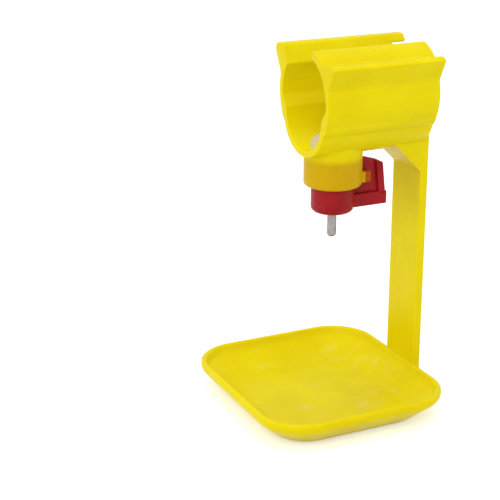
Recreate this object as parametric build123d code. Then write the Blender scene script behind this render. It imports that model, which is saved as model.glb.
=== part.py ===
from build123d import *
import math
import os

# Clip-on nipple drinker with a drip tray, in millimetres.
# Origin: where the nipple's axis crosses the axis of the water pipe.
# X runs along the pipe, towards the post. Y runs to the back. Z is up.

PAST = 1.0               # how far a cutting shape runs on past the solid it cuts

# --- pipe clip -------------------------------------------------------------
PIPE_R = 12.5            # outside radius of the water pipe that the trough holds
TROUGH_WALL = 2.2
TROUGH_R = PIPE_R + TROUGH_WALL
CLIP_NEAR = 11.7         # from the nipple's axis to the open end of the clip
CLIP_FAR = 30.5          # from the nipple's axis to the end that carries the post
JAW_RISE = 5.0           # centre of the jaws' bore above the pipe's axis
JAW_GROWTH = 2.9         # how much larger the jaws' bore is than the pipe
JAW_R = PIPE_R + JAW_GROWTH
JAW_WALL = 2.1
JAW_CROWN = 0.7          # the jaws' outside sits this much higher than their bore
LEDGE_HEIGHT = 3.4       # top of the sloping ledge where the jaws leave the trough
SHOULDER_OUT = 1.4       # outer edge of the jaws' shoulder, below the pipe's axis
SHOULDER_IN = 6.6        # inner edge of the jaws' shoulder, below the pipe's axis
FRONT_JAW_END = 20.0     # degrees from straight up to the front jaw's edge
REAR_JAW_END = 52.0      # degrees from straight up to the rear jaw's edge
FIN_ROOT_LOW = 17.0      # degrees above the horizontal, lower side of a fin
FIN_ROOT_HIGH = 44.0     # degrees above the horizontal, upper side of a fin
FIN_OUT = 3.1            # fin tip beyond the jaws' outside
FIN_BELOW_CROWN = 2.6    # fin tip below the top of the jaws' bore
FIN_CREST_UP = 1.2       # fin's upper corner above its tip
FIN_CREST_IN = 1.6       # fin's upper corner inside its tip
REAR_LIP_UP = 0.6        # top of the rear fin above the jaws' bore
REAR_LIP_THICK = 4.4     # rear fin at its top, front to back
REAR_TAB = 5.2           # how far the rear fin runs on past the clip
FIN_BITE = 0.3           # how far a fin's root sinks into the jaw
FIN_ROUND = 0.7
END_ROUND = 0.3          # edges of the post and the lever

# --- collar ------------------------------------------------------------------
ARM_HALF = 9.0           # half the width of the post and its gusset
CEILING_THICK = 1.3      # from the trough's underside to the top of the socket
CEILING = TROUGH_R + CEILING_THICK
COLLAR_WALL = 2.1
SOCKET_DEEP = 9.6
COLLAR_BOTTOM = CEILING + SOCKET_DEEP
COLLAR_ROUND = 1.2
LUG_OUT = 2.3            # stop lug, outer end from the collar
LUG_WIDTH = 2.6
LUG_GAP = 0.3            # from the lug to the lever
LUG_HEIGHT = 3.6
LUG_ABOVE_RIM = 0.6
BAYONET_DROP = 3.0       # top of the groove for the bayonet ears, below the ceiling
BAYONET_HEIGHT = 1.9
BAYONET_DEPTH = 0.9
BAYONET_ARC = 46.0       # degrees covered by one ear
BAYONET_ANGLE = 90.0     # centre of the first ear when locked, from +X
BAYONET_SLACK = 0.15     # radial clearance of an ear in the groove
ENTRY_SLACK = 4.0        # extra degrees in the slot that lets an ear in

# --- post --------------------------------------------------------------------
POST_THICK = 3.0
POST_PROUD = 1.9         # outer face of the post, beyond the end of the clip
POST_OUTER = CLIP_FAR + POST_PROUD
POST_INNER = POST_OUTER - POST_THICK
POST_TOP_BELOW = 2.7     # top of the post, above the pipe's lowest line
POST_TOP = PIPE_R - POST_TOP_BELOW
GUSSET_DROP = 7.7        # foot of the gusset below the trough's underside
GUSSET_RISE = 12.6       # height and length of the gusset's slope

# --- drip tray -----------------------------------------------------------------
TRAY_LONG = 75.5         # front to back
TRAY_WIDE = 69.2         # along the pipe
TRAY_BITE = 1.0          # how far the rim runs into the post
TRAY_SHIFT = TRAY_WIDE / 2 - TRAY_BITE - POST_INNER
TRAY_CORNER = 16.0
TRAY_RIM = 94.4          # rim, below the pipe's axis
TRAY_DEEP = 10.6         # rim to the underside
TRAY_LIP = 3.0           # upright band below the rim
TRAY_INSET = 8.2         # how far the base is smaller than the rim, each side
TRAY_WALL = 1.9
TRAY_BASE_ROUND = 3.0
TRAY_RIM_ROUND = 0.8
POST_BELOW_RIM = 6.6
POST_FOOT = TRAY_RIM + POST_BELOW_RIM
FOOT_HALF = 6.0          # half the width of the foot that joins the post to the tray

# --- valve, from the trigger outwards ------------------------------------------------
RUN_FIT = 0.05           # radial clearance of a running fit
LOOSE_FIT = 0.2          # radial clearance of a loose hole
SEAT_GAP = 0.1           # gap between pieces that only rest on each other
SMALL_EDGE = 0.4         # chamfer on small turned edges
PIN_R = 1.6
PIN_ROUND = 1.2
PIN_OUT = 9.0            # how far the trigger pin stands out of the body
BALL_R = 3.2             # ball head of the trigger pin
SEAT_THICK = 1.5
SEAT_BITE = 0.5          # the seat ring starts this far above the ball's lowest point
SLEEVE_GAP = 0.55        # ball to sleeve
SLEEVE_BORE = BALL_R + SLEEVE_GAP
SLEEVE_WALL = 0.85
SLEEVE_R = SLEEVE_BORE + SLEEVE_WALL
SLEEVE_LIP = 0.9
SLEEVE_LIP_GAP = 0.8     # pin to the lip that holds the seat ring
SLEEVE_LIP_R = PIN_R + SLEEVE_LIP_GAP
OUTLET_GAP = 1.0         # pin to outlet
OUTLET_R = PIN_R + OUTLET_GAP
OUTLET_FLARE = 0.6
FLANGE_OUT = 1.8
FLANGE_R = SLEEVE_R + FLANGE_OUT
FLANGE_THICK = 1.5
WASHER_THICK = 1.2
SPIGOT_SKIRT = 0.9
SPIGOT_R = 3.5
SPIGOT_WALL = 1.6
SPIGOT_BORE = SPIGOT_R - SPIGOT_WALL
SPIGOT_IN = 4.9          # how far the spigot stands into the pipe
SPIGOT_TOP = PIPE_R - SPIGOT_IN
SPIGOT_EDGE = 0.6
SPIGOT_SLOT = 1.4        # cross slot that keeps the inlet open
GASKET_BAND = 4.3
GASKET_R = SPIGOT_R + GASKET_BAND
GASKET_THICK = 1.1
GASKET_SEAT = 0.8        # depth of the groove that the gasket lies in
HOUSING_WALL = 1.5
SOCKET_R = FLANGE_R + HOUSING_WALL
COLLAR_R = SOCKET_R + COLLAR_WALL
HOUSING_DOWN = 0.4       # top of the housing below the socket's ceiling
HOUSING_TOP = CEILING + HOUSING_DOWN
HOUSING_STEP = 0.3       # from the collar's rim to where the housing gets narrower
SHOULDER = COLLAR_BOTTOM + HOUSING_STEP
BODY_STEP = 0.5
BODY_R = SOCKET_R - BODY_STEP       # visible part of the housing
WEB_DROP = 3.0           # upper seat web, below the top of the sleeve
WEB_THICK = 1.2
STEM_R = 0.9             # metering pin
STEM_GAP = 0.5
WEB_HOLE = STEM_R + STEM_GAP
SEAL_THICK = 0.8
STEM_HEAD_OVER = 1.0
STEM_HEAD_R = WEB_HOLE + STEM_HEAD_OVER
STEM_HEAD_ROOM = 0.6     # clearance round the metering pin's head
STEM_HEAD_THICK = 1.4
BALL_ROOM = 1.4          # from the web to the ball
SLEEVE_TOP = CEILING + WASHER_THICK + FLANGE_THICK + SPIGOT_SKIRT
WEB_TOP = SLEEVE_TOP + WEB_DROP
BALL_DROP = WEB_TOP + WEB_THICK + BALL_ROOM + BALL_R
LIP_TOP = BALL_DROP + BALL_R - SEAT_BITE
SLEEVE_BOTTOM = LIP_TOP + SLEEVE_LIP
NOSE_LONG = 3.2          # from the sleeve to the body's lower end
BODY_BOTTOM = SLEEVE_BOTTOM + NOSE_LONG
BODY_ROUND = 1.9
PIN_TIP = BODY_BOTTOM + PIN_OUT

# --- lever -----------------------------------------------------------------------
WING_THICK = 3.2
WING_GAP = 0.7           # wing to collar
WING_WIDE = 8.8
WING_CLEAR = 2.0         # wing's top below the trough's underside
WING_SLOPE = 2.6         # how far the wing's top falls towards its outer end
WING_LEAN = 1.3          # how far the wing's outer edge leans in towards its top
FLANGE_LEAF = 2.6        # thickened outer edge of the wing
LEVER_UP = 1.0           # underside of the lever's foot above the body's lower end
LEVER_HIGH = 4.6
LEVER_FOOT_WIDTH = 5.4
LEVER_PAST = 0.5         # lever's foot beyond the wing
WING_INNER = COLLAR_R + WING_GAP
WING_REACH = WING_INNER + WING_WIDE
LEVER_REACH = WING_REACH + LEVER_PAST
LEVER_FOOT_BOTTOM = BODY_BOTTOM - LEVER_UP
LEVER_FOOT_TOP = LEVER_FOOT_BOTTOM - LEVER_HIGH
WING_TOP = TROUGH_R + WING_CLEAR
TURN_MAX = 75.0          # degrees the lever swings to release the nipple


def cylinder_up(radius, low, high):
    """Upright cylinder on the nipple's axis between two heights."""
    return Pos(0, 0, low) * Cylinder(
        radius, high - low, align=(Align.CENTER, Align.CENTER, Align.MIN)
    )


def block(x0, x1, y0, y1, z0, z1):
    """Box between two corners."""
    return Pos((x0 + x1) / 2, (y0 + y1) / 2, (z0 + z1) / 2) * Box(x1 - x0, y1 - y0, z1 - z0)


def ring(outer, inner, low, high):
    return cylinder_up(outer, low, high) - cylinder_up(inner, low - PAST, high + PAST)


def turned(points):
    """Solid of revolution about the nipple's axis, from (radius, height) corners."""
    face = make_face(Plane.XZ * Polyline(*points, close=True))
    return revolve(face, Axis.Z)


def along_pipe(face_2d, start, end):
    """Sketch in (y, z) carried along X from start to end."""
    plane = Plane(origin=(start, 0, 0), x_dir=(0, 1, 0), z_dir=(1, 0, 0))
    return extrude(plane * face_2d, amount=end - start)


def on_jaw(radius, degrees):
    """Point (y, z) on a circle round the jaws' centre, degrees above the horizontal."""
    a = math.radians(degrees)
    return radius * math.cos(a), JAW_RISE + radius * math.sin(a)


def jaw_section():
    """Both jaws, their sloping shoulders and the trough, before the mouth is cut."""
    outer = JAW_R + JAW_WALL
    shell = Pos(0, JAW_RISE + JAW_CROWN) * Circle(outer)
    far = 2 * outer
    below = [
        (-far, -SHOULDER_OUT), (-outer, -SHOULDER_OUT), (-PIPE_R, -SHOULDER_IN),
        (PIPE_R, -SHOULDER_IN), (outer, -SHOULDER_OUT), (far, -SHOULDER_OUT), (far, -far), (-far, -far),
    ]
    shell -= make_face(Polyline(*below, close=True))
    bore = Pos(0, JAW_RISE) * Circle(JAW_R)
    bore -= Pos(0, LEDGE_HEIGHT - JAW_R) * Rectangle(3 * outer, 2 * JAW_R)
    trough = Circle(TROUGH_R) - Pos(0, outer) * Rectangle(3 * outer, 2 * outer)
    ledge = JAW_R - SEAT_GAP
    throat = [(-PIPE_R, 0), (PIPE_R, 0), (ledge, LEDGE_HEIGHT), (-ledge, LEDGE_HEIGHT)]
    return shell + trough - bore - Circle(PIPE_R) - make_face(Polyline(*throat, close=True))


def mouth_section():
    """Wedge from the jaws' centre that opens the clip at the top."""
    far = 3 * JAW_R
    front = math.radians(90 + FRONT_JAW_END)
    rear = math.radians(90 - REAR_JAW_END)
    pts = [
        (0, JAW_RISE),
        (far * math.cos(rear), JAW_RISE + far * math.sin(rear)),
        (0, JAW_RISE + far),
        (far * math.cos(front), JAW_RISE + far * math.sin(front)),
    ]
    return make_face(Polyline(*pts, close=True))


def fin_tip():
    """(y, z) of a fin's tip, for the back."""
    return JAW_R + JAW_WALL + FIN_OUT, JAW_RISE + JAW_R - FIN_BELOW_CROWN


def front_fin():
    """Wedge that stands off the front jaw."""
    tip_y, tip_z = fin_tip()
    low_y, low_z = on_jaw(JAW_R + JAW_WALL - FIN_BITE, FIN_ROOT_LOW)
    high_y, high_z = on_jaw(JAW_R + JAW_WALL / 2, FIN_ROOT_HIGH)
    crest = (-tip_y + FIN_CREST_IN, tip_z + FIN_CREST_UP)
    root = (-high_y, tip_z)
    points = [(-low_y, low_z), (-tip_y, tip_z), crest, root, (-high_y, high_z)]
    face = make_face(Polyline(*points, close=True))
    return fillet(face.vertices().sort_by(Axis.X)[:2], FIN_ROUND)


def rear_fin():
    """Taller fin on the rear jaw, flat on top, that ends in a lip."""
    tip_y, tip_z = fin_tip()
    low_y, low_z = on_jaw(JAW_R + JAW_WALL - FIN_BITE, FIN_ROOT_LOW)
    high_y, high_z = on_jaw(JAW_R + JAW_WALL / 2, FIN_ROOT_HIGH)
    top = JAW_RISE + JAW_R + REAR_LIP_UP
    crest = (tip_y - FIN_ROUND, top)
    lip = (tip_y - FIN_ROUND - REAR_LIP_THICK, top)
    points = [(low_y, low_z), (tip_y, tip_z), crest, lip, (high_y, high_z)]
    face = make_face(Polyline(*points, close=True))
    return fillet(face.vertices().sort_by(Axis.Y)[-2:], FIN_ROUND)


def rear_tab():
    """Upper half of the rear fin, which runs on past the clip as a spring tab."""
    tip_y, tip_z = fin_tip()
    keep = Pos(0, tip_z) * Rectangle(4 * tip_y, 4 * tip_y, align=(Align.CENTER, Align.MIN))
    tab = along_pipe(rear_fin() & keep, CLIP_FAR, CLIP_FAR + REAR_TAB)
    end_edges = tab.faces().sort_by(Axis.X)[-1].edges().filter_by(Axis.Y)
    return fillet(end_edges, FIN_ROUND)


def pipe_clip():
    body = along_pipe(jaw_section() - mouth_section(), -CLIP_NEAR, CLIP_FAR)
    body += along_pipe(front_fin(), -CLIP_NEAR, CLIP_FAR)
    body += along_pipe(rear_fin(), -CLIP_NEAR, CLIP_FAR)
    body += rear_tab()
    body -= gasket_seat()
    return body - cylinder_up(SPIGOT_R + LOOSE_FIT, -3 * PIPE_R, 0)


def gasket_seat():
    """Shallow groove round the trough, which keeps the gasket in its place along the pipe."""
    half = GASKET_R + LOOSE_FIT
    return Rot(0, 90, 0) * Cylinder(PIPE_R + GASKET_SEAT, 2 * half) - block(
        -2 * half, 2 * half, -2 * PIPE_R, 2 * PIPE_R, 0, 2 * PIPE_R
    )


def rounded_slab(long_y, wide_x, corner, height):
    """Rounded rectangle under the pipe, centred on the tray, at a height."""
    sketch = RectangleRounded(wide_x, long_y, corner)
    return Pos(-TRAY_SHIFT, 0, height) * sketch


def tray_form(inset, low, rim):
    """Dish: an upright band on a tapered base. inset shrinks it all round."""
    long_y = TRAY_LONG - 2 * inset
    wide_x = TRAY_WIDE - 2 * inset
    corner = TRAY_CORNER - inset
    band_low = -TRAY_RIM - TRAY_LIP
    base_corner = TRAY_CORNER - TRAY_INSET / 2 - inset
    top = rounded_slab(long_y, wide_x, corner, band_low)
    base = rounded_slab(long_y - 2 * TRAY_INSET, wide_x - 2 * TRAY_INSET, base_corner, low)
    dish = loft([base, top])
    dish = fillet(dish.faces().sort_by(Axis.Z)[0].edges(), TRAY_BASE_ROUND)
    return dish + extrude(top, amount=rim - band_low)


def drip_tray():
    outer = tray_form(0, -TRAY_RIM - TRAY_DEEP, -TRAY_RIM)
    inner = tray_form(TRAY_WALL, -TRAY_RIM - TRAY_DEEP + TRAY_WALL, -TRAY_RIM + PAST)
    tray = outer - inner
    tray = fillet(tray.edges().group_by(Axis.Z)[-1], TRAY_RIM_ROUND)
    return tray - post_blank()


def post_blank():
    """The post as a plain slab."""
    return block(POST_INNER, POST_OUTER, -ARM_HALF, ARM_HALF, -POST_FOOT, -POST_TOP)


def tray_outside():
    return tray_form(0, -TRAY_RIM - TRAY_DEEP, -TRAY_RIM)


def foot_web():
    """Wedge between the post's foot and the tray's sloping side."""
    inner_x = TRAY_WIDE / 2 - TRAY_SHIFT - TRAY_INSET
    web = block(inner_x, POST_INNER, -FOOT_HALF, FOOT_HALF, -POST_FOOT, -TRAY_RIM - TRAY_LIP)
    return web - tray_outside()


def gusset():
    """Sloping block between the trough's underside and the post, rooted past the post's rounded edges."""
    foot = -TROUGH_R - GUSSET_DROP
    top = foot + GUSSET_RISE
    root = POST_INNER + 2 * END_ROUND
    points = [(root, foot), (root, top), (POST_INNER - GUSSET_RISE, top), (POST_INNER, foot)]
    triangle = make_face(Plane.XZ * Polyline(*points, close=True))
    return extrude(triangle, amount=ARM_HALF, both=True)


def post():
    """Strap from the end of the clip down to the tray, with its gusset and foot."""
    slab = post_blank()
    slab = fillet(slab.edges().filter_by(Axis.Z), END_ROUND)
    slab += gusset()
    slab -= along_pipe(Circle(TROUGH_R), -CLIP_NEAR, CLIP_FAR)
    return slab + foot_web() - along_pipe(Circle(PIPE_R), -CLIP_NEAR, 2 * POST_OUTER)


def bayonet_ears(radius, height_low, height_high, arc):
    """Two opposite sectors of a ring, centred on the locked ear angle."""
    ears = []
    for turn in (0, 180):
        a = math.radians(arc / 2)
        far = 3 * radius
        wedge = make_face(
            Polyline((0, 0), (far, -far * math.tan(a)), (far, far * math.tan(a)), close=True)
        )
        wedge = Rot(0, 0, BAYONET_ANGLE + turn) * extrude(wedge, amount=height_high - height_low)
        ears.append(Pos(0, 0, height_low) * wedge & cylinder_up(radius, height_low, height_high))
    return ears


def groove_top():
    return CEILING + BAYONET_DROP


def nipple_collar():
    """Socket under the trough, with its bayonet groove and stop lug."""
    barrel = cylinder_up(COLLAR_R, -COLLAR_BOTTOM, 0)
    rim = barrel.edges().filter_by(GeomType.CIRCLE).sort_by(Axis.Z)[0]
    barrel = fillet(rim, COLLAR_ROUND)
    lug_back = -WING_THICK / 2 - LUG_GAP
    lug_low = -COLLAR_BOTTOM + LUG_ABOVE_RIM
    body = barrel + block(
        SOCKET_R + PAST, COLLAR_R + LUG_OUT, lug_back - LUG_WIDTH, lug_back, lug_low, lug_low + LUG_HEIGHT
    )
    body -= along_pipe(Circle(TROUGH_R), -2 * COLLAR_R, 2 * COLLAR_R)
    body -= block(-2 * COLLAR_R, 2 * COLLAR_R, -2 * COLLAR_R, 2 * COLLAR_R, -PIPE_R / 2, PIPE_R)
    body -= cylinder_up(SOCKET_R, -COLLAR_BOTTOM - PAST, -CEILING)
    body -= cylinder_up(SPIGOT_R + LOOSE_FIT, -3 * PIPE_R, 0)
    body -= ring(SOCKET_R + BAYONET_DEPTH, SOCKET_R - PAST, -groove_top() - BAYONET_HEIGHT, -groove_top())
    arc = BAYONET_ARC + ENTRY_SLACK
    for ear in bayonet_ears(SOCKET_R + BAYONET_DEPTH, -COLLAR_BOTTOM - PAST, -groove_top(), arc):
        body -= Rot(0, 0, TURN_MAX) * ear
    return body


def housing_shell():
    """Turned outside of the housing, with its bayonet ears."""
    socket_r = SOCKET_R - RUN_FIT
    points = [
        (0, -HOUSING_TOP), (socket_r - SMALL_EDGE, -HOUSING_TOP), (socket_r, -HOUSING_TOP - SMALL_EDGE),
        (socket_r, -SHOULDER), (BODY_R, -SHOULDER - RUN_FIT), (BODY_R, -BODY_BOTTOM), (0, -BODY_BOTTOM),
    ]
    body = turned(points)
    body = fillet(body.edges().filter_by(GeomType.CIRCLE).sort_by(Axis.Z)[0], BODY_ROUND)
    low = -groove_top() - BAYONET_HEIGHT + SEAT_GAP
    ear_r = SOCKET_R + BAYONET_DEPTH - BAYONET_SLACK
    for ear in bayonet_ears(ear_r, low, -groove_top() - SEAT_GAP, BAYONET_ARC):
        body += ear - cylinder_up(socket_r - PAST, -BODY_BOTTOM, 0)
    return body


def upright_slab(points, width):
    """Outline in (x, z) thickened evenly to the front and the back."""
    face = make_face(Plane.XZ * Polyline(*points, close=True))
    return extrude(face, amount=width / 2, both=True)


def lever():
    """Foot under the collar, and the wing that stands up beside it with its thicker outer leaf."""
    half = LEVER_FOOT_WIDTH / 2
    foot = block(0, LEVER_REACH, -half, half, -LEVER_FOOT_BOTTOM, -LEVER_FOOT_TOP)
    foot = fillet(foot.edges().filter_by(Axis.Z).sort_by(Axis.X)[-2:], END_ROUND)
    low = -LEVER_FOOT_TOP - PAST
    top = -WING_TOP - WING_SLOPE
    plate = [
        (0, low), (WING_REACH, low), (WING_REACH - WING_LEAN, top), (WING_INNER, -WING_TOP),
        (WING_INNER, -SHOULDER - LUG_GAP), (0, -SHOULDER - LUG_GAP),
    ]
    leaf = [
        (WING_REACH - FLANGE_LEAF, low), (WING_REACH, low),
        (WING_REACH - WING_LEAN, top), (WING_REACH - WING_LEAN - FLANGE_LEAF, top),
    ]
    return foot + upright_slab(plate, WING_THICK) + upright_slab(leaf, LEVER_FOOT_WIDTH)


def valve_housing():
    """Red body that turns in the socket, with its lever, bored for the sleeve and the inlet's flange."""
    shell = housing_shell() + lever()
    shell -= cylinder_up(SLEEVE_R + RUN_FIT, -SLEEVE_BOTTOM, 0)
    shell -= cylinder_up(FLANGE_R + RUN_FIT, -flange_bottom(), 0)
    floor = -SLEEVE_BOTTOM
    flare = OUTLET_R + OUTLET_FLARE
    mouth = [
        (0, floor + PAST), (OUTLET_R, floor + PAST), (OUTLET_R, floor),
        (flare, -BODY_BOTTOM), (flare, -PIN_TIP), (0, -PIN_TIP),
    ]
    return shell - turned(mouth)


def flange_top():
    return CEILING + WASHER_THICK


def flange_bottom():
    return flange_top() + FLANGE_THICK


def inlet_spigot():
    tube = cylinder_up(SPIGOT_R, -flange_top(), -SPIGOT_TOP)
    tube = chamfer(tube.edges().filter_by(GeomType.CIRCLE).sort_by(Axis.Z)[-1], SPIGOT_EDGE)
    flange = cylinder_up(FLANGE_R, -flange_bottom(), -flange_top())
    skirt = cylinder_up(SLEEVE_R, -SLEEVE_TOP, -flange_bottom())
    spigot = tube + flange + skirt
    spigot -= cylinder_up(SPIGOT_BORE, -SLEEVE_TOP - PAST, 0)
    spigot -= cylinder_up(STEM_HEAD_R + STEM_HEAD_ROOM, -SLEEVE_TOP - PAST, -flange_bottom() + SPIGOT_EDGE)
    slot = block(-SPIGOT_R, SPIGOT_R, -SPIGOT_SLOT / 2, SPIGOT_SLOT / 2, -SPIGOT_TOP - SPIGOT_SLOT, 0)
    return spigot - slot


def inlet_washer():
    return ring(FLANGE_R, SPIGOT_R + RUN_FIT, -flange_top(), -CEILING)


def saddle_gasket():
    """Soft pad curved to the trough, round the hole in the pipe."""
    outer = PIPE_R + GASKET_SEAT - RUN_FIT
    pad = Rot(0, 90, 0) * (
        Cylinder(outer, 4 * GASKET_R) - Cylinder(outer - GASKET_THICK, 4 * GASKET_R)
    )
    pad &= cylinder_up(GASKET_R, -TROUGH_R, -PAST)
    return pad - cylinder_up(SPIGOT_R + RUN_FIT, -TROUGH_R, 0)


def seat_sleeve():
    tube = ring(SLEEVE_R, SLEEVE_BORE, -SLEEVE_BOTTOM, -SLEEVE_TOP)
    lip = ring(SLEEVE_R - SLEEVE_WALL / 2, SLEEVE_LIP_R, -SLEEVE_BOTTOM, -LIP_TOP)
    web = ring(SLEEVE_R - SLEEVE_WALL / 2, WEB_HOLE, -WEB_TOP - WEB_THICK, -WEB_TOP)
    return tube + lip + web


def metering_seal():
    return ring(SLEEVE_BORE - RUN_FIT, WEB_HOLE, -WEB_TOP, -WEB_TOP + SEAL_THICK)


def metering_pin():
    """Upper pin: its head closes the upper seat and its stem stands over the ball."""
    seat = -WEB_TOP + SEAL_THICK
    head = cylinder_up(STEM_HEAD_R, seat, seat + STEM_HEAD_THICK)
    head = chamfer(head.edges().filter_by(GeomType.CIRCLE).sort_by(Axis.Z)[-1], SMALL_EDGE)
    return head + cylinder_up(STEM_R, -BALL_DROP + BALL_R + SEAT_GAP, seat)


def trigger_seat():
    """Rubber ring that the ball closes on."""
    seat = ring(SLEEVE_BORE - RUN_FIT, SLEEVE_LIP_R, -LIP_TOP, -LIP_TOP + SEAT_THICK)
    return seat - Pos(0, 0, -BALL_DROP) * Sphere(BALL_R + RUN_FIT)


def trigger_pin():
    ball = Pos(0, 0, -BALL_DROP) * Sphere(BALL_R)
    stem = cylinder_up(PIN_R, -PIN_TIP, -BALL_DROP)
    stem = fillet(stem.edges().filter_by(GeomType.CIRCLE).sort_by(Axis.Z)[0], PIN_ROUND)
    return ball + stem


def main():
    parts = {
        "pipe_clip": pipe_clip(),
        "nipple_collar": nipple_collar(),
        "post": post(),
        "drip_tray": drip_tray(),
        "saddle_gasket": saddle_gasket(),
        "inlet_washer": inlet_washer(),
        "inlet_spigot": inlet_spigot(),
        "valve_housing": valve_housing(),
        "seat_sleeve": seat_sleeve(),
        "metering_seal": metering_seal(),
        "metering_pin": metering_pin(),
        "trigger_seat": trigger_seat(),
        "trigger_pin": trigger_pin(),
    }
    os.makedirs("parts", exist_ok=True)
    for name, solid in parts.items():
        export_step(solid, f"parts/{name}.step")


main()
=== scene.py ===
import math

import bpy
import numpy as np
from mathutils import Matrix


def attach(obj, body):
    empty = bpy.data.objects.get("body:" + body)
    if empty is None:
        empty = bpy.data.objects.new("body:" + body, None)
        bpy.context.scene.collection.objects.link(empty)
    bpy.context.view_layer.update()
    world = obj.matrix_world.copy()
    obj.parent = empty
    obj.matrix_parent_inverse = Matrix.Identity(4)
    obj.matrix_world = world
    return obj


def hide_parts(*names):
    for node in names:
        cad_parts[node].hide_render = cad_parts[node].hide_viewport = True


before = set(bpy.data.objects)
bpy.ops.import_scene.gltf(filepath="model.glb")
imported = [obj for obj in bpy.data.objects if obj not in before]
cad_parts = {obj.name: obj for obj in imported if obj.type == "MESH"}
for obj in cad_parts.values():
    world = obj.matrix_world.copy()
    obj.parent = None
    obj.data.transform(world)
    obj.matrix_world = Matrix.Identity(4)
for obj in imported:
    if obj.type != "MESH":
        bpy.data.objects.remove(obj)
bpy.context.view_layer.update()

# Clip-on nipple drinker. Shapes are in millimetres and are turned into metres when a mesh is made.
# The origin is where the nipple's axis crosses the water pipe's axis; X runs along the pipe, Z is up.
MM = 0.001


# ---------------------------------------------------------------- shader maths

class Wire:
    """A shader socket that ordinary arithmetic works on. Each sum adds one Math node."""

    def __init__(self, tree, socket=None):
        self.tree = tree
        self.socket = socket

    def make(self, kind, settings=None, sockets=None, out=0):
        """Any node: its settings first, then values or links on its sockets. Gives the wire of one output."""
        node = self.tree.nodes.new(kind)
        for key, value in (settings or {}).items():
            setattr(node, key, value)
        for key, value in (sockets or {}).items():
            if isinstance(value, Wire):
                self.tree.links.new(value.socket, node.inputs[key])
            else:
                node.inputs[key].default_value = value
        return Wire(self.tree, node.outputs[out])

    def sum(self, operation, first, second, clamp=False):
        """One Math node."""
        settings = {"operation": operation, "use_clamp": clamp}
        return self.make("ShaderNodeMath", settings, {0: first, 1: second})

    def __add__(self, other):
        return self.sum("ADD", self, other)

    def __radd__(self, other):
        return self.sum("ADD", other, self)

    def __sub__(self, other):
        return self.sum("SUBTRACT", self, other)

    def __rsub__(self, other):
        return self.sum("SUBTRACT", other, self)

    def __mul__(self, other):
        return self.sum("MULTIPLY", self, other)

    def __rmul__(self, other):
        return self.sum("MULTIPLY", other, self)

    def band(self, low, high):
        """0 below low, 1 above high, smooth between."""
        return self.make(
            "ShaderNodeMapRange", {"interpolation_type": "SMOOTHSTEP"}, {0: self, 1: low, 2: high}
        )

    def noise(self, size, detail=2.0, rough=0.5, distort=0.0):
        """Noise with features about size millimetres across, read at this vector."""
        values = {"Vector": self, "Scale": 1.0 / (size * MM), "Detail": detail}
        values.update({"Roughness": rough, "Distortion": distort})
        return self.make("ShaderNodeTexNoise", None, values)

    def cells(self, size):
        """Distance to the nearest wall between cells about size millimetres across."""
        values = {"Vector": self, "Scale": 1.0 / (size * MM)}
        return self.make("ShaderNodeTexVoronoi", {"feature": "DISTANCE_TO_EDGE"}, values)

    def scaled(self, factors, turn=(0.0, 0.0, 0.0)):
        """This vector turned, then stretched."""
        return self.make("ShaderNodeMapping", None, {"Vector": self, "Rotation": turn, "Scale": factors})

    def split(self):
        """The three parts of this vector."""
        node = self.make("ShaderNodeSeparateXYZ", None, {0: self}).socket.node
        return [Wire(self.tree, s) for s in node.outputs]

    def blend(self, first, second):
        """Colour between first and second, with this wire as the amount of second."""
        return self.make("ShaderNodeMix", {"data_type": "RGBA"}, {0: self, 6: first, 7: second}, 2)


def material(name):
    """New material; gives it, its Principled shader and a wire of Object coordinates."""
    mat = bpy.data.materials.new(name)
    mat.use_nodes = True
    tree = mat.node_tree
    shader = tree.nodes["Principled BSDF"]
    place = Wire(tree).make("ShaderNodeTexCoord", None, None, "Object")
    return mat, shader, place


def feed(shader, **wires):
    """Links wires to the shader's sockets; underscores stand for spaces."""
    for key, wire in wires.items():
        wire.tree.links.new(wire.socket, shader.inputs[key.replace("_", " ")])


def fix(shader, **values):
    """Uniform values on the shader's own sockets."""
    for key, value in values.items():
        shader.inputs[key.replace("_", " ")].default_value = value


def bumped(place, height, depth_mm, strength, below=None):
    """Normal wire for a height of depth_mm, over an optional normal below it."""
    values = {"Height": height, "Distance": depth_mm * MM, "Strength": strength}
    if below is not None:
        values["Normal"] = below
    return place.make("ShaderNodeBump", None, values)


# ---------------------------------------------------------------- materials

YELLOW_DEEP = (0.73, 0.585, 0.001, 1.0)
YELLOW_BRIGHT = (0.80, 0.675, 0.002, 1.0)
YELLOW_PALE = (0.86, 0.74, 0.06, 1.0)
# Painted shade: a dark orange with a red cast, laid over the collar's lower wall and its stop lug.
SHADE_PAINTED_RED = (0.40, 0.085, 0.004, 1.0)
WATER_FILM = (0.80, 0.74, 0.36, 1.0)
WHITE = (1.0, 1.0, 1.0, 1.0)
BLACK = (0.0, 0.0, 0.0, 1.0)


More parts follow.
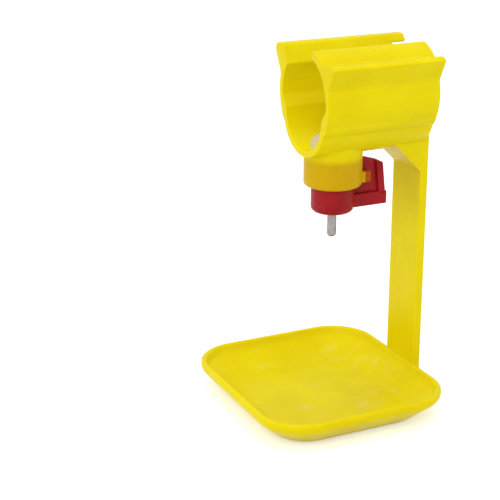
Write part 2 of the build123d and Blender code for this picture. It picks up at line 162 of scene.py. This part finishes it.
def moulded_yellow(name, flow, painted_shade=None, dried=None):
    """Glossy polypropylene.

    flow stretches the faint flow marks: they are long along the axis with the small factor.
    painted_shade takes the place and gives how much painted shade with a red cast lies over the colour.
    dried takes the place and gives how much of a pale film the dried water has left.
    """
    mat, shader, place = material(name)
    drift = place.noise(26.0, 3.0)
    flow_marks = place.scaled(flow).noise(3.2, 4.0, 0.55, 0.4)
    peel = place.noise(0.55, 2.0, 0.6)
    scuff_zone = place.noise(14.0, 2.0).band(0.52, 0.72)
    scuffs = 1.0 - place.scaled((1.0, 0.16, 0.16), (0.3, 0.2, 0.7)).cells(2.6).band(0.0, 0.035)
    scuffs = scuffs * scuff_zone
    tone = (drift * 0.7 + flow_marks * 0.3).band(0.3, 0.72)
    colour = tone.blend(YELLOW_DEEP, YELLOW_BRIGHT)
    colour = (scuffs * 0.10).blend(colour, YELLOW_PALE)
    # Painted shade with a red cast over the colour, where the material asks for it.
    if painted_shade:
        colour = painted_shade(place).blend(colour, SHADE_PAINTED_RED)
    rough = 0.26 + flow_marks * 0.12 + scuffs * 0.12 + drift * 0.06
    if dried:
        film = dried(place)
        colour = film.blend(colour, WATER_FILM)
        rough = rough + film * 0.5
    normal = bumped(place, peel, 0.012, 0.5)
    normal = bumped(place, flow_marks, 0.05, 0.5, normal)
    normal = bumped(place, 1.0 - scuffs, 0.01, 0.4, normal)
    feed(shader, Base_Color=colour, Roughness=rough, Normal=normal)
    fix(shader, IOR=1.49, Specular_IOR_Level=0.06)
    fix(shader, Subsurface_Weight=0.15, Subsurface_Radius=(1.0, 0.6, 0.02), Subsurface_Scale=1.8 * MM)
    return mat


def socket_shade_painted(place):
    """Amount of painted shade with a red cast on the collar: weak in the socket's wall, and strong in the
    stop lug.

    The wall's share fades out from just below the socket's ceiling upwards, and the lug's rises
    just outside the collar.
    """
    across, _, height = place.split()
    wall = 1.0 - height.band(-17.2 * MM, -14.2 * MM)
    lug = across.band(10.0 * MM, 10.6 * MM)
    return wall * 0.48 + lug * 0.86


def water_marks(place):
    """Thin ragged patches on the tray's floor: where two sizes of noise are both high, below the rim."""
    _, _, height = place.split()
    patches = place.noise(17.0, 2.0).band(0.46, 0.70) * place.noise(6.0, 2.0, 0.5).band(0.46, 0.72)
    return patches * (1.0 - height.band(-98.5 * MM, -96.5 * MM)) * 0.22


def moulded_red():
    """Satin red plastic with fine peel, a few pale scuffs and slightly darker pools."""
    mat, shader, place = material("moulded_red")
    drift = place.noise(9.0, 3.0)
    peel = place.noise(0.4, 2.0, 0.6)
    scuffs = 1.0 - place.scaled((0.2, 1.0, 0.2), (0.2, 0.5, 0.1)).cells(1.7).band(0.0, 0.04)
    scuffs = scuffs * place.noise(6.0, 2.0).band(0.5, 0.7)
    colour = drift.band(0.3, 0.7).blend((0.275, 0.005, 0.008, 1.0), (0.36, 0.008, 0.012, 1.0))
    colour = (scuffs * 0.3).blend(colour, (0.55, 0.10, 0.10, 1.0))
    feed(shader, Base_Color=colour, Roughness=0.30 + drift * 0.12 + scuffs * 0.2)
    feed(shader, Normal=bumped(place, peel, 0.01, 0.5))
    fix(shader, IOR=1.49, Specular_IOR_Level=0.14)
    fix(shader, Subsurface_Weight=0.05, Subsurface_Radius=(1.0, 0.1, 0.08), Subsurface_Scale=0.8 * MM)
    return mat


def turned_steel():
    """Stainless steel turned on a lathe: fine rings round the nipple's axis and a soft uneven stain."""
    mat, shader, place = material("turned_steel")
    rings = place.scaled((0.05, 0.05, 1.0)).noise(0.10, 3.0, 0.7)
    stain = place.noise(2.4, 3.0)
    colour = stain.band(0.35, 0.7).blend((0.25, 0.222, 0.215, 1.0), (0.34, 0.305, 0.295, 1.0))
    feed(shader, Base_Color=colour, Roughness=0.24 + rings * 0.16 + stain * 0.08)
    feed(shader, Normal=bumped(place, rings, 0.006, 0.7))
    fix(shader, Metallic=1.0)
    return mat


def milky_silicone():
    """Half-clear silicone with faint clouds."""
    mat, shader, place = material("milky_silicone")
    cloud = place.noise(2.5, 3.0)
    colour = cloud.blend((0.93, 0.92, 0.84, 1.0), (0.98, 0.97, 0.94, 1.0))
    feed(shader, Base_Color=colour, Roughness=0.30 + cloud * 0.2)
    feed(shader, Normal=bumped(place, place.noise(0.3), 0.01, 0.5))
    fix(shader, IOR=1.41, Transmission_Weight=0.55, Subsurface_Weight=0.1, Subsurface_Scale=1.0 * MM)
    return mat


def white_acetal():
    """White engineering plastic, a little uneven in tone."""
    mat, shader, place = material("white_acetal")
    cloud = place.noise(4.0, 3.0)
    colour = cloud.blend((0.78, 0.77, 0.73, 1.0), (0.88, 0.87, 0.84, 1.0))
    feed(shader, Base_Color=colour, Roughness=0.32 + cloud * 0.12)
    feed(shader, Normal=bumped(place, place.noise(0.35), 0.01, 0.5))
    return mat


def seal_rubber():
    """Matt black rubber with a fine grain."""
    mat, shader, place = material("seal_rubber")
    grain = place.noise(0.25, 3.0)
    colour = grain.blend((0.018, 0.018, 0.018, 1.0), (0.05, 0.05, 0.048, 1.0))
    feed(shader, Base_Color=colour, Roughness=0.55 + grain * 0.2, Normal=bumped(place, grain, 0.012, 0.6))
    return mat


# ---------------------------------------------------------------- mesh maths

def even_loop(points, step, soften):
    """Closed outline walked at an even step, then blurred along its length.

    The blur is a bell curve soften millimetres wide, wrapped round the loop, so that every
    corner becomes a round one and long arcs stay where they are.
    """
    closed = np.vstack([points, points[:1]])
    lengths = np.hypot(*np.diff(closed, axis=0).T)
    walked = np.concatenate([[0.0], np.cumsum(lengths)])
    count = int(walked[-1] / step)
    at = np.arange(count) * walked[-1] / count
    loop = np.stack([np.interp(at, walked, closed[:, k]) for k in range(2)], axis=1)
    offset = np.minimum(np.arange(count), count - np.arange(count)) * walked[-1] / count
    bell = np.exp(-0.5 * (offset / soften) ** 2)
    spectrum = np.fft.fft(bell / bell.sum())
    return np.real(np.fft.ifft(np.fft.fft(loop, axis=0) * spectrum[:, None], axis=0))


def even_path(points, step, soften):
    """Open outline, softened like even_loop by walking it there and back, without its repeated points."""
    there_and_back = np.vstack([points, points[-2:0:-1]])
    loop = even_loop(there_and_back, step, soften)
    first = np.argmin(np.hypot(*(loop - points[0]).T))
    loop = np.roll(loop, -first, axis=0)
    last = np.argmin(np.hypot(*(loop - points[-1]).T))
    path = loop[: last + 1]
    apart = np.hypot(*np.diff(path, axis=0).T) > step / 10
    return path[np.concatenate([[True], apart])]


def arc(centre, radius, start, end, count=40):
    """Points on a circle from one angle to another, in degrees."""
    a = np.radians(np.linspace(start, end, count))
    return np.stack([centre[0] + radius * np.cos(a), centre[1] + radius * np.sin(a)], axis=1)


SHARP_EDGE = math.radians(35.0)


def add_mesh(name, vertices, faces, mat, body, nodes=()):
    """Mesh object at the origin from millimetre vertices, smooth except at sharp edges.

    body is the one it moves with, mat its material, and nodes are the CAD pieces that it
    takes the place of.
    """
    mesh = bpy.data.meshes.new(name)
    mesh.from_pydata((vertices * MM).tolist(), [], faces)
    mesh.polygons.foreach_set("use_smooth", [True] * len(mesh.polygons))
    mesh.set_sharp_from_angle(angle=SHARP_EDGE)
    mesh.validate()
    mesh.update()
    piece = bpy.data.objects.new(name, mesh)
    bpy.context.scene.collection.objects.link(piece)
    mesh.materials.append(mat)
    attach(piece, body)
    if nodes:
        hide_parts(*nodes)


def grid_faces(rows, columns, wrap_rows=False):
    """Quads of a grid whose rows are closed rings, as an array of corner numbers."""
    r = np.arange(rows if wrap_rows else rows - 1)[:, None]
    c = np.arange(columns)[None, :]
    below = (r + 1) % rows
    right = (c + 1) % columns
    corners = [r * columns + c, r * columns + right, below * columns + right, below * columns + c]
    return np.stack(np.broadcast_arrays(*corners), axis=-1).reshape(-1, 4)


def loop_normals(loop):
    """Unit outward normals of a closed outline that runs anticlockwise."""
    tangent = np.roll(loop, -1, axis=0) - np.roll(loop, 1, axis=0)
    tangent /= np.linalg.norm(tangent, axis=1)[:, None]
    return np.stack([tangent[:, 1], -tangent[:, 0]], axis=1)


EDGE_STEPS = 6           # rings in a bar's rounded end


def bar(name, loop, start, end, edge, mat, body, nodes=(), axis=0):
    """Outline carried along an axis, with both ends rounded over and closed.

    axis is 0 for an outline of (y, z) carried along X, and 1 for one of (x, z) carried along Y. At
    each end the outline shrinks along its normals by edge times (1 - sin t) while it moves in by
    edge times (1 - cos t), with t from 0 to a quarter turn.
    """
    normals = loop_normals(loop)
    t = np.linspace(0.0, math.pi / 2, EDGE_STEPS)
    shrink = np.concatenate([edge * (1 - np.sin(t)), edge * (1 - np.sin(t[::-1]))])
    along = np.concatenate([start + edge * (1 - np.cos(t)), end - edge * (1 - np.cos(t[::-1]))])
    rings = loop[None] - shrink[:, None, None] * normals[None]
    count = len(loop)
    carried = np.broadcast_to(along[:, None, None], (len(along), count, 1))
    order = {0: [2, 0, 1], 1: [0, 2, 1]}[axis]
    vertices = np.concatenate([rings, carried], axis=2)[..., order].reshape(-1, 3)
    sides = grid_faces(len(along), count)
    first = np.arange(count)[::-1]
    last = np.arange(count) + (len(along) - 1) * count
    if axis == 1:
        sides, first, last = sides[:, ::-1], first[::-1], last[::-1]
    faces = sides.tolist() + [first.tolist(), last.tolist()]
    add_mesh(name, vertices, faces, mat, body, nodes)


def fans(poles, first, last):
    """Triangles that close a grid's first and last rings, each round its own pole."""
    low = np.stack([np.full(len(first), poles[0]), np.roll(first, -1), first], axis=1)
    high = np.stack([np.full(len(last), poles[1]), last, np.roll(last, -1)], axis=1)
    return low.tolist() + high.tolist()


def spun(profile, turns):
    """Points of a (radius, height) outline turned about the nipple's axis, a ring for each of its points."""
    a = np.linspace(0.0, 2 * math.pi, turns, endpoint=False)
    x = profile[:, None, 0] * np.cos(a)
    y = profile[:, None, 0] * np.sin(a)
    z = np.broadcast_to(profile[:, None, 1], x.shape)
    return np.stack([x, y, z], axis=-1).reshape(-1, 3)


def lathe(name, profile, turns, mat, body, nodes=()):
    """Profile of (radius, height) from bottom to top, turned about the nipple's axis.

    Its first and last points are on the axis.
    """
    vertices = spun(profile[1:-1], turns)
    poles = np.array([[0.0, 0.0, profile[0, 1]], [0.0, 0.0, profile[-1, 1]]])
    base = len(vertices)
    ring = np.arange(turns)
    faces = grid_faces(base // turns, turns).tolist()
    faces += fans((base, base + 1), ring, ring + base - turns)
    add_mesh(name, np.vstack([vertices, poles]), faces, mat, body, nodes)


def turned_ring(name, loop, turns, mat, body, nodes=()):
    """Closed outline of (radius, height) turned about the nipple's axis, so that it has a bore."""
    faces = grid_faces(len(loop), turns, wrap_rows=True).tolist()
    add_mesh(name, spun(loop, turns), faces, mat, body, nodes)


# ---------------------------------------------------------------- drip tray

TRAY_LONG = 75.5
TRAY_WIDE = 69.2
TRAY_SHIFT = 4.2         # the tray's middle, away from the post
TRAY_CORNER = 16.0
TRAY_RIM = -94.4
TRAY_UNDER = -105.0
TRAY_WALL = 1.9
TRAY_FLOOR = TRAY_UNDER + TRAY_WALL
TRAY_LIP = 3.0           # upright band below the rim, outside
TRAY_LIP_INSIDE = 2.8
TRAY_INSET = 8.2         # how far the base is smaller than the rim, each side
TRAY_MIDDLE = 26.0       # inset of the last ring, which a fan closes
CORNER_POINTS = 28


def tray_ring(inset, height):
    """Rounded rectangle inset from the rim, as points in space.

    Each corner is a quarter circle whose radius falls by half the inset.
    """
    radius = TRAY_CORNER - inset / 2
    quarter = np.radians(np.linspace(0.0, 90.0, CORNER_POINTS))
    a = (np.arange(4)[:, None] * (math.pi / 2) + quarter[None, :]).ravel()
    corner = np.repeat(np.array([[1, 1], [-1, 1], [-1, -1], [1, -1]]), len(quarter), axis=0)
    x = corner[:, 0] * (TRAY_WIDE / 2 - inset - radius) + radius * np.cos(a) - TRAY_SHIFT
    y = corner[:, 1] * (TRAY_LONG / 2 - inset - radius) + radius * np.sin(a)
    return np.stack([x, y, np.full_like(x, height)], axis=1)


def tray_profile():
    """(inset, height) up the outside, over the round rim and down the inside to the floor."""
    rim_centre = TRAY_RIM - TRAY_WALL / 2
    outside = [
        (TRAY_MIDDLE, TRAY_UNDER), (TRAY_INSET, TRAY_UNDER), (0.0, TRAY_RIM - TRAY_LIP), (0.0, rim_centre),
    ]
    inside = [
        (TRAY_WALL, rim_centre), (TRAY_WALL, TRAY_RIM - TRAY_LIP_INSIDE),
        (TRAY_INSET + TRAY_WALL, TRAY_FLOOR), (TRAY_MIDDLE, TRAY_FLOOR),
    ]
    rim = arc((TRAY_WALL / 2, rim_centre), TRAY_WALL / 2, 180, 0, 12)[1:-1]
    outer = even_path(np.array(outside), step=0.4, soften=0.9)
    inner = even_path(np.array(inside), step=0.4, soften=2.2)
    return np.vstack([outer, rim, inner])


def drip_tray(mat):
    """Shallow dish: rounded rectangles that follow the profile, closed in the middle of both sides."""
    rings = np.stack([tray_ring(inset, height) for inset, height in tray_profile()])
    count = rings.shape[1]
    base = rings.shape[0] * count
    first = np.arange(count)
    faces = grid_faces(len(rings), count).tolist()
    faces += fans((base, base + 1), first, first + base - count)
    poles = np.array([[-TRAY_SHIFT, 0, TRAY_UNDER], [-TRAY_SHIFT, 0, TRAY_FLOOR]])
    vertices = np.vstack([rings.reshape(-1, 3), poles])
    add_mesh("drip_tray_shell", vertices, faces, mat, "bracket", ["drip_tray"])


# ---------------------------------------------------------------- pipe clip

CLIP_NEAR = -11.7
CLIP_FAR = 30.5
PIPE_R = 12.5
TROUGH_R = 14.7
JAW_RISE = 5.0           # centre of the jaws' bore above the pipe's axis
JAW_IN = 15.4
JAW_OUT = 17.5
CROWN = (0.0, 5.7)       # centre of the jaws' outside
REAR_FIN = [(20.45, 17.6), (20.55, 19.4), (19.9, 20.5), (18.6, 20.95), (15.7, 20.9), (15.0, 20.2)]
TAB_UNDERSIDE = [(13.9, 18.6), (14.6, 17.9)]
TAB_REACH = 5.2          # how far the tab runs on past the clip
TAB_ROOT = 2.0           # how far it starts inside the clip
TAB_INSET = 0.03         # keeps its faces just inside the clip's
RIB_ANGLES = (114.0, 118.0, 122.0, 126.0, 130.0)
RIB_WIDTH = 0.7          # degrees
RIB_HEIGHT = 0.09
STEP_CORNERS = [(-16.3, -1.6), (16.3, -1.6), (-13.75, -5.2), (13.75, -5.2)]
STEP_GROOVE = 0.30       # width of the groove at a step of the shoulders
STEP_SUNK = 0.22


def clip_outline():
    """Section of the clip across the pipe: trough, shoulders, both jaws and both fins, anticlockwise.

    The bore is a circle round the jaws' centre, the outside one round a centre a little higher,
    and the front jaw's crest one that leans to the front.
    """
    bore = (0.0, JAW_RISE)
    parts = [
        arc((0, 0), TROUGH_R, -90, -22, 60),
        [(15.4, -3.2)],
        arc(CROWN, JAW_OUT, -24.5, 17, 60),
        REAR_FIN,
        arc(bore, JAW_IN, 38, -5, 60),
        arc((0, 0), PIPE_R, 0, -180, 160),
        arc(bore, JAW_IN, 185, 110, 80),
        arc((-1.0, 5.5), 17.4, 107, 134, 60),
        [(-18.4, 19.0), (-20.2, 17.9)],
        arc(CROWN, JAW_OUT, 163, 204.5, 60),
        [(-15.4, -3.2)],
        arc((0, 0), TROUGH_R, 202, 269, 60),
    ]
    return np.vstack([np.asarray(p, float) for p in parts])


def with_ribs(loop):
    """Fine lengthwise ribs on the front jaw, and a groove at each step of the shoulders.

    The outline moves along its normals: out by bell curves of the angle round the jaws' centre,
    and in by bell curves of the distance from the steps' corners.
    """
    angle = np.degrees(np.arctan2(loop[:, 1] - JAW_RISE, loop[:, 0]))
    reach = np.hypot(loop[:, 0], loop[:, 1] - JAW_RISE)
    outside = reach > (JAW_IN + JAW_OUT) / 2
    off_rib = angle[:, None] - np.array(RIB_ANGLES)
    swell = np.exp(-0.5 * (off_rib / RIB_WIDTH) ** 2).sum(axis=1) * RIB_HEIGHT
    off_step = np.linalg.norm(loop[:, None] - np.array(STEP_CORNERS), axis=2)
    sunk = np.exp(-0.5 * (off_step / STEP_GROOVE) ** 2).sum(axis=1) * STEP_SUNK
    return loop + ((swell - sunk) * outside)[:, None] * loop_normals(loop)


def pipe_clip(mat):
    """Both jaws with the trough, and the spring tab that carries the rear fin on."""
    jaws = with_ribs(even_loop(clip_outline(), step=0.20, soften=0.38))
    bar("clip_jaws", jaws, CLIP_NEAR, CLIP_FAR, 0.25, mat, "bracket", ["pipe_clip"])
    tab = even_loop(np.array(REAR_FIN + TAB_UNDERSIDE), step=0.15, soften=0.38)
    tab = tab - TAB_INSET * loop_normals(tab)
    bar("clip_tab", tab, CLIP_FAR - TAB_ROOT, CLIP_FAR + TAB_REACH, 0.30, mat, "bracket")


# ---------------------------------------------------------------- nipple

BODY_R = 7.4
BODY_BOTTOM = -35.2
BODY_ROUND = 1.9
BODY_DISH = 0.2          # the lower end is this much lower than its rounded rim
BODY_STEP = -26.2        # where the body widens to fill the collar's socket
STEP_SLOPE = 0.3
SOCKET_R = 7.85
HOUSING_TOP = -16.4
TOP_EDGE = 0.4
FLANGE_R = 6.45
FLANGE_SEAT = -18.7
SLEEVE_R = 4.65
SLEEVE_SEAT = -32.0
OUTLET_R = 2.6
OUTLET_LONG = 1.2        # straight part of the outlet, above its flare
OUTLET_FLARE = 0.6
LEVER_ROOT = 5.5
LEVER_REACH = 20.0
LEVER_LOW = -34.2
LEVER_TOP = -29.6
LEVER_HALF = 2.7         # half the width of the foot and the leaf
WING_HALF = 1.6
WING_INNER = 10.7
WING_OUTER = 19.5
WING_LOW = -30.6
WING_TOP = -16.8
WING_LEAN = 1.3          # how far the outer edge leans in towards its top
LEAF_THICK = 2.6
BALL_R = 3.2
BALL_CENTRE = -28.4
PIN_R = 1.6
PIN_TIP = -44.2
PIN_ROUND = 1.1


def housing_outline():
    """(radius, height) of the red body's wall, anticlockwise from the outlet's mouth."""
    nose = (BODY_R - BODY_ROUND, BODY_BOTTOM + BODY_DISH + BODY_ROUND)
    return np.vstack([
        [(OUTLET_R + OUTLET_FLARE, BODY_BOTTOM), (nose[0] - 0.5, BODY_BOTTOM + BODY_DISH / 2)],
        arc(nose, BODY_ROUND, -80, 0, 16),
        [
            (BODY_R, BODY_STEP), (SOCKET_R, BODY_STEP + STEP_SLOPE),
            (SOCKET_R, HOUSING_TOP - TOP_EDGE), (SOCKET_R - TOP_EDGE, HOUSING_TOP),
            (FLANGE_R, HOUSING_TOP), (FLANGE_R, FLANGE_SEAT),
            (SLEEVE_R, FLANGE_SEAT), (SLEEVE_R, SLEEVE_SEAT),
            (OUTLET_R, SLEEVE_SEAT), (OUTLET_R, SLEEVE_SEAT - OUTLET_LONG),
        ],
    ])


def valve_housing(mat):
    """Turned body, and the lever: a foot, a wing that stands up beside the collar and its thick leaf."""
    loop = even_loop(housing_outline(), step=0.12, soften=0.16)
    turned_ring("housing_body", loop, 128, mat, "nipple", ["valve_housing"])
    foot = [
        (LEVER_ROOT, LEVER_LOW), (LEVER_REACH, LEVER_LOW), (LEVER_REACH, LEVER_TOP), (LEVER_ROOT, LEVER_TOP),
    ]
    wing = [
        (LEVER_ROOT, WING_LOW), (WING_OUTER - 0.9, WING_LOW), (WING_OUTER - 2.1, WING_TOP - 2.1),
        (WING_INNER, WING_TOP), (WING_INNER, BODY_STEP), (LEVER_ROOT, BODY_STEP),
    ]
    lean = WING_OUTER - WING_LEAN
    leaf = [
        (WING_OUTER - LEAF_THICK, WING_LOW), (WING_OUTER, WING_LOW),
        (lean, WING_TOP - 2.4), (lean - LEAF_THICK, WING_TOP - 1.6),
    ]
    for name, outline, soften, half, edge in [
        ("lever_foot", foot, 0.35, LEVER_HALF, 0.25),
        ("lever_wing", wing, 0.30, WING_HALF, 0.20),
        ("lever_leaf", leaf, 0.40, LEVER_HALF, 0.30),
    ]:
        loop = even_loop(np.array(outline), step=0.15, soften=soften)
        bar(name, loop, -half, half, edge, mat, "nipple", axis=1)


def trigger_pin(mat):
    """Steel pin with a round tip, turned in one with its ball head."""
    tip = arc((PIN_R - PIN_ROUND, PIN_TIP + PIN_ROUND), PIN_ROUND, -90, 0, 12)
    stem = [(PIN_R, PIN_TIP + 1.2), (PIN_R, BALL_CENTRE - 2.8)]
    ball = arc((0.0, BALL_CENTRE), BALL_R, -60, 90, 40)
    profile = np.vstack([[(0.0, PIN_TIP)], tip, stem, ball])
    lathe("trigger_pin_turned", profile, 64, mat, "trigger", ["trigger_pin"])


# ---------------------------------------------------------------- stage

FLOOR_HALF = 3000.0
FLOOR_GAP = 0.05         # keeps the floor clear of the tray's underside


def shown(tree):
    """1 for rays that show the surroundings: from the camera, off a glossy surface or through a clear one."""
    camera, glossy, clear = [
        Wire(tree).make("ShaderNodeLightPath", None, None, "Is %s Ray" % kind)
        for kind in ("Camera", "Glossy", "Transmission")
    ]
    return camera.sum("ADD", camera + glossy, clear, True)


def surroundings(scene):
    """Grey light all round that is seen as white."""
    scene.world = bpy.data.worlds.new("studio")
    scene.world.use_nodes = True
    tree = scene.world.node_tree
    colour = shown(tree).blend((0.66, 0.66, 0.67, 1.0), WHITE)
    tree.links.new(colour.socket, tree.nodes["Background"].inputs["Color"])


def pale_floor(scene):
    """Wide white floor that glows a little where it is seen, and keeps the drinker's shadow."""
    mat = bpy.data.materials.new("floor_white")
    mat.use_nodes = True
    shader = mat.node_tree.nodes["Principled BSDF"]
    fix(shader, Base_Color=(0.86, 0.86, 0.86, 1.0), Roughness=0.6, Emission_Strength=1.0)
    feed(shader, Emission_Color=shown(mat.node_tree).blend(BLACK, (0.42, 0.42, 0.42, 1.0)))
    signs = np.array([(-1, -1, 0), (1, -1, 0), (1, 1, 0), (-1, 1, 0)])
    corners = (signs * FLOOR_HALF + np.array([0.0, 0.0, TRAY_UNDER - FLOOR_GAP])) * MM
    mesh = bpy.data.meshes.new("floor")
    mesh.from_pydata(corners.tolist(), [], [(0, 1, 2, 3)])
    mesh.materials.append(mat)
    floor = bpy.data.objects.new("floor", mesh)
    scene.collection.objects.link(floor)


def camera(scene):
    """Long lens that looks down at the drinker from the front left."""
    lens = bpy.data.cameras.new("camera")
    lens.lens = 96.98
    lens.sensor_width = 36.0
    lens.clip_start = 0.01
    view = bpy.data.objects.new("camera", lens)
    view.location = (-0.21484, -0.38622, 0.10323)
    view.rotation_euler = (math.radians(90.0 - 19.085), 0.0, math.radians(-25.438))
    scene.collection.objects.link(view)
    scene.camera = view


def lamp(name, place, size, power):
    """Square area lamp that faces the middle of the drinker."""
    light = bpy.data.lights.new(name, "AREA")
    light.energy = power
    light.size = size
    held = bpy.data.objects.new(name, light)
    target = np.array([0.0, 0.0, -0.04])
    ray = target - np.array(place)
    flat = math.hypot(ray[0], ray[1])
    held.rotation_euler = (math.atan2(flat, -ray[2]), 0.0, math.atan2(-ray[0], ray[1]))
    held.location = place
    bpy.context.scene.collection.objects.link(held)


def finish_cad(node, mat):
    """Own material on a CAD piece that stays as it is."""
    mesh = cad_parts[node].data
    for k in range(len(mesh.materials)):
        mesh.materials[k] = mat


def studio():
    """White surroundings, pale floor, soft lamps and the camera."""
    scene = bpy.context.scene
    scene.view_settings.view_transform = "Standard"
    surroundings(scene)
    pale_floor(scene)
    lamp("key", (-0.55, -0.65, 0.85), 0.70, 4.6)
    lamp("fill", (0.75, -0.75, 0.35), 0.80, 1.6)
    lamp("top", (0.05, 0.10, 1.00), 0.70, 2.6)
    lamp("side", (-1.05, 0.15, 0.10), 0.80, 2.6)
    camera(scene)


steel = turned_steel()
acetal = white_acetal()
rubber = seal_rubber()

pipe_clip(moulded_yellow("moulded_yellow", (0.25, 1.0, 1.0)))
drip_tray(moulded_yellow("moulded_yellow_tray", (0.4, 0.4, 1.0), dried=water_marks))
valve_housing(moulded_red())
trigger_pin(steel)

# The socket's material carries painted shade with a red cast in its lower wall and stop lug.
finish_cad("nipple_collar", moulded_yellow("moulded_yellow_socket", (1.0, 1.0, 0.4), painted_shade=socket_shade_painted))
finish_cad("post", moulded_yellow("moulded_yellow_upright", (1.0, 1.0, 0.25)))
finish_cad("saddle_gasket", milky_silicone())
finish_cad("inlet_washer", rubber)
finish_cad("inlet_spigot", acetal)
finish_cad("seat_sleeve", acetal)
finish_cad("metering_seal", rubber)
finish_cad("trigger_seat", rubber)
finish_cad("metering_pin", steel)

studio()
